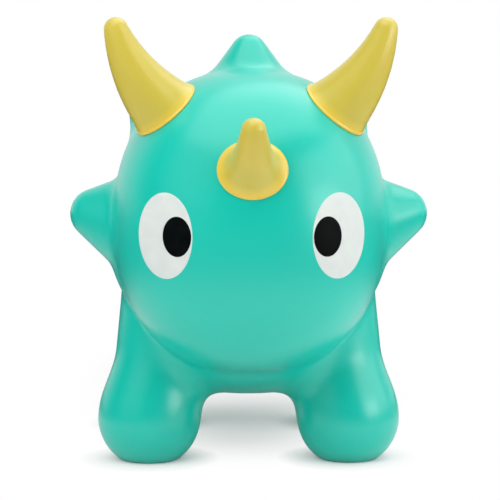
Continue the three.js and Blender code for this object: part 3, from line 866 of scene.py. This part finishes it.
def floor_material():
    """White to the camera but in an oval of painted shadow round and behind the toy and a painted contact
    shadow by its feet, where the floor's lit shade shows; darker to the toy's gloss, and clear from below.
    """
    m = Material("floor")
    m.nodes.remove(m.shader)
    path = m.add("LightPath").outputs

    away = m.range(m.length(m.place), FLOOR_SHINE_START, FLOOR_SHINE_END, kind="SMOOTHSTEP")
    colour = m.mix(m.math("MULTIPLY", away, path["Is Glossy Ray"]), FLOOR_COLOUR, FLOOR_SHINE)
    plain = m.add("BsdfDiffuse", {"Color": colour}).outputs["BSDF"]

    # How far a point lies from the middle of the oval of painted shadow
    from_middle = m.vector("DIVIDE", m.vector("SUBTRACT", m.place, PAINTED_SHADOW_MIDDLE), PAINTED_SHADOW_REACH)
    far = m.length(from_middle)
    fade = m.range(far, PAINTED_SHADOW_FADE_START, PAINTED_SHADOW_FADE_END, FLOOR_GLOW_NEAR, 1, kind="SMOOTHSTEP")
    # Painted contact shadow: ambient occlusion near the toy lowers the white glow
    painted_contact_shadow = m.add("AmbientOcclusion", {"Distance": CONTACT_REACH}).outputs["AO"]
    glow = m.math("MULTIPLY", m.math("MULTIPLY", fade, painted_contact_shadow), path["Is Camera Ray"])
    top = m.mix_shader(glow, plain, m.add("Emission").outputs["Emission"])

    below = m.add("NewGeometry").outputs["Backfacing"]
    surface = m.mix_shader(below, top, m.add("BsdfTransparent").outputs["BSDF"])
    m.feed(m.nodes["Material Output"].inputs["Surface"], surface)
    return m.data


def make_floor():
    """A pale floor that keeps the toy's shadow, shown inside an oval of painted shadow and a painted contact
    shadow.
    """
    half = FLOOR_SIZE / 2
    mesh = bpy.data.meshes.new("floor")
    corners = [(-half, -half, 0), (half, -half, 0), (half, half, 0), (-half, half, 0)]
    mesh.from_pydata(corners, [], [(0, 1, 2, 3)])
    mesh.materials.append(floor_material())
    floor = bpy.data.objects.new("floor", mesh)
    bpy.context.scene.collection.objects.link(floor)


WORLD_LIGHT = 0.2
WORLD_FRONT_SHINE = 0.03
WORLD_BACK_SHINE = 0.9
WORLD_SHINE_START = 0.1
WORLD_SHINE_END = 0.6


def make_world():
    """White to the camera, evenly soft to the toy, and to its gloss dark in front and bright behind."""
    world = bpy.data.worlds.new("surroundings")
    bpy.context.scene.world = world
    world.use_nodes = True
    w = Nodes(world.node_tree, "Generated")
    path = w.add("LightPath").outputs
    shine = w.range(w.axis("Y"), WORLD_SHINE_START, WORLD_SHINE_END, WORLD_FRONT_SHINE, WORLD_BACK_SHINE)
    light = w.mix(path["Is Glossy Ray"], WORLD_LIGHT, shine, kind="FLOAT")
    background = w.nodes["Background"]
    w.feed(background.inputs["Color"], (1, 1, 1))
    w.feed(background.inputs["Strength"], w.math("MAXIMUM", light, path["Is Camera Ray"]))


LAMPS = (
    dict(
        name="overhead",
        place=(0.2, -0.1, 1.75),
        aim=(0.1, 0, 0.25),
        width=3.1,
        height=1.7,
        power=31,
    ),
    dict(
        name="right",
        place=(1.64, -0.65, 0.9),
        aim=(0, -0.05, 0.3),
        width=2.4,
        height=1.4,
        power=18.5,
    ),
    dict(
        name="right_strip",
        place=(1.43, -1.0, 0.42),
        aim=(0.12, -0.05, 0.12),
        width=0.9,
        height=0.45,
        power=4,
    ),
    dict(
        name="front_fill",
        place=(-1.3, -1.2, 1.0),
        aim=(0, 0, 0.22),
        width=1.6,
        height=1.4,
        power=19,
        shine=False,
    ),
)


def add_softbox(name, place, aim, width, height, power, shine=True):
    """An area lamp at a place, facing what it aims at, which shiny surfaces mirror or not."""
    lamp = bpy.data.lights.new(name, "AREA")
    lamp.shape = "RECTANGLE"
    lamp.size = width
    lamp.size_y = height
    lamp.energy = power
    obj = bpy.data.objects.new(name, lamp)
    obj.location = place
    obj.rotation_euler = (Vector(aim) - Vector(place)).to_track_quat("-Z", "Y").to_euler()
    obj.visible_camera = False
    obj.visible_glossy = shine
    bpy.context.scene.collection.objects.link(obj)


def make_camera():
    """The photograph's view."""
    azimuth, elevation = math.radians(CAMERA_AZIMUTH), math.radians(CAMERA_ELEVATION)
    back = Vector(
        (
            math.sin(azimuth) * math.cos(elevation),
            -math.cos(azimuth) * math.cos(elevation),
            math.sin(elevation),
        )
    )
    camera = bpy.data.cameras.new("camera")
    camera.sensor_width = SENSOR_WIDTH
    camera.lens = PIXELS_PER_METRE * CAMERA_DISTANCE * SENSOR_WIDTH / IMAGE_PIXELS
    camera.clip_end = CAMERA_REACH
    obj = bpy.data.objects.new("camera", camera)
    obj.location = Vector(to_frame(CAMERA_TARGET)) + back * CAMERA_DISTANCE
    obj.rotation_euler = (-back).to_track_quat("-Z", "Y").to_euler()
    bpy.context.scene.collection.objects.link(obj)
    bpy.context.scene.camera = obj


make_floor()
make_world()
for lamp_settings in LAMPS:
    add_softbox(**lamp_settings)
make_camera()
bpy.context.scene.view_settings.view_transform = "Standard"
